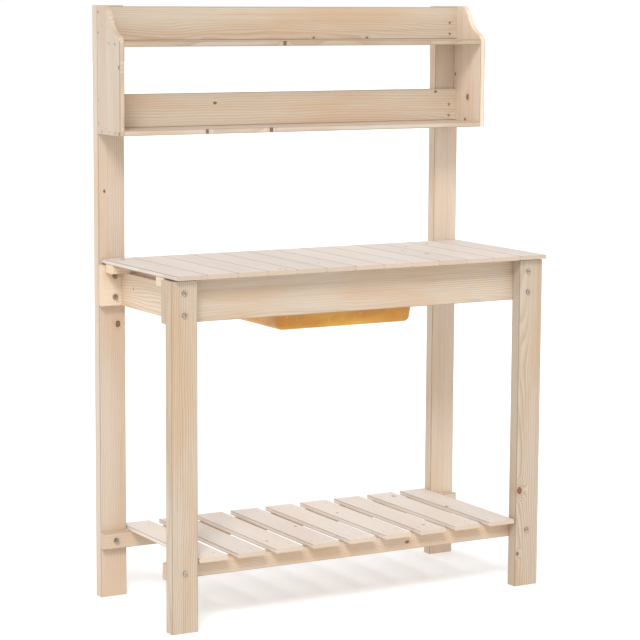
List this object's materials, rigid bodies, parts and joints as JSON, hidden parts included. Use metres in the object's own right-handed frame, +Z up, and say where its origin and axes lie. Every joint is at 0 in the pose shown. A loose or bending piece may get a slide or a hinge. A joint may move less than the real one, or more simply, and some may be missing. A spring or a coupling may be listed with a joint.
{
  "type": "potting bench",
  "caption": "Softwood potting bench with a sliding two-part slatted worktop over a hanging basin, a low slatted shelf and a raised shelf unit.",
  "frame": {"origin": "on the floor below the centre of the whole bench", "axes": "+Z up, the front of the bench faces -Y, +X to the right of someone who stands in front of it"},
  "size_m": [0.9826, 0.4226, 1.383],
  "materials": {
    "softwood": "sawn and lightly sanded, untreated",
    "zinc_steel": "zinc plated",
    "basin_plastic": "moulded, satin"
  },
  "bodies": {
    "frame": {"rear_post_left": "softwood", "rear_post_right": "softwood", "front_leg_left": "softwood", "front_leg_right": "softwood", "front_apron": "softwood", "rear_apron": "softwood", "side_apron_left": "softwood", "side_apron_right": "softwood", "basin_rail_left": "softwood", "basin_rail_right": "softwood", "basin_rail_blocks": "softwood", "basin": "basin_plastic", "shelf_rail_front": "softwood", "shelf_rail_rear": "softwood", "shelf_slat_1": "softwood", "shelf_slat_2": "softwood", "shelf_slat_3": "softwood", "shelf_slat_4": "softwood", "shelf_slat_5": "softwood", "shelf_slat_6": "softwood", "shelf_slat_7": "softwood", "shelf_slat_8": "softwood", "shelf_slat_9": "softwood", "unit_side_left": "softwood", "unit_side_right": "softwood", "lower_shelf": "softwood", "upper_shelf": "softwood", "lower_back_board": "softwood", "upper_back_board": "softwood", "frame_bolts": "zinc_steel", "frame_washers": "zinc_steel", "frame_nuts": "zinc_steel", "shelf_slat_nails": "zinc_steel", "unit_side_screws": "zinc_steel", "unit_post_screws": "zinc_steel", "side_apron_screws": "zinc_steel"},
    "left_top": {"top_slat_1": "softwood", "top_slat_2": "softwood", "top_slat_3": "softwood", "top_slat_4": "softwood", "top_slat_5": "softwood", "top_slat_6": "softwood", "top_slat_7": "softwood", "left_top_front_batten": "softwood", "left_top_rear_batten": "softwood", "left_top_stop": "softwood", "left_top_screws": "zinc_steel"},
    "right_top": {"top_slat_8": "softwood", "top_slat_9": "softwood", "top_slat_10": "softwood", "top_slat_11": "softwood", "top_slat_12": "softwood", "top_slat_13": "softwood", "right_top_front_batten": "softwood", "right_top_rear_batten": "softwood", "right_top_stop": "softwood", "right_top_screws": "zinc_steel"}
  },
  "joints": [
    {"name": "left_top_slide", "type": "slide", "parent": "frame", "child": "left_top", "axis": [-1, 0, 0], "range_m": [0, 0.18]},
    {"name": "right_top_slide", "type": "slide", "parent": "frame", "child": "right_top", "axis": [1, 0, 0], "range_m": [0, 0.15]}
  ]
}
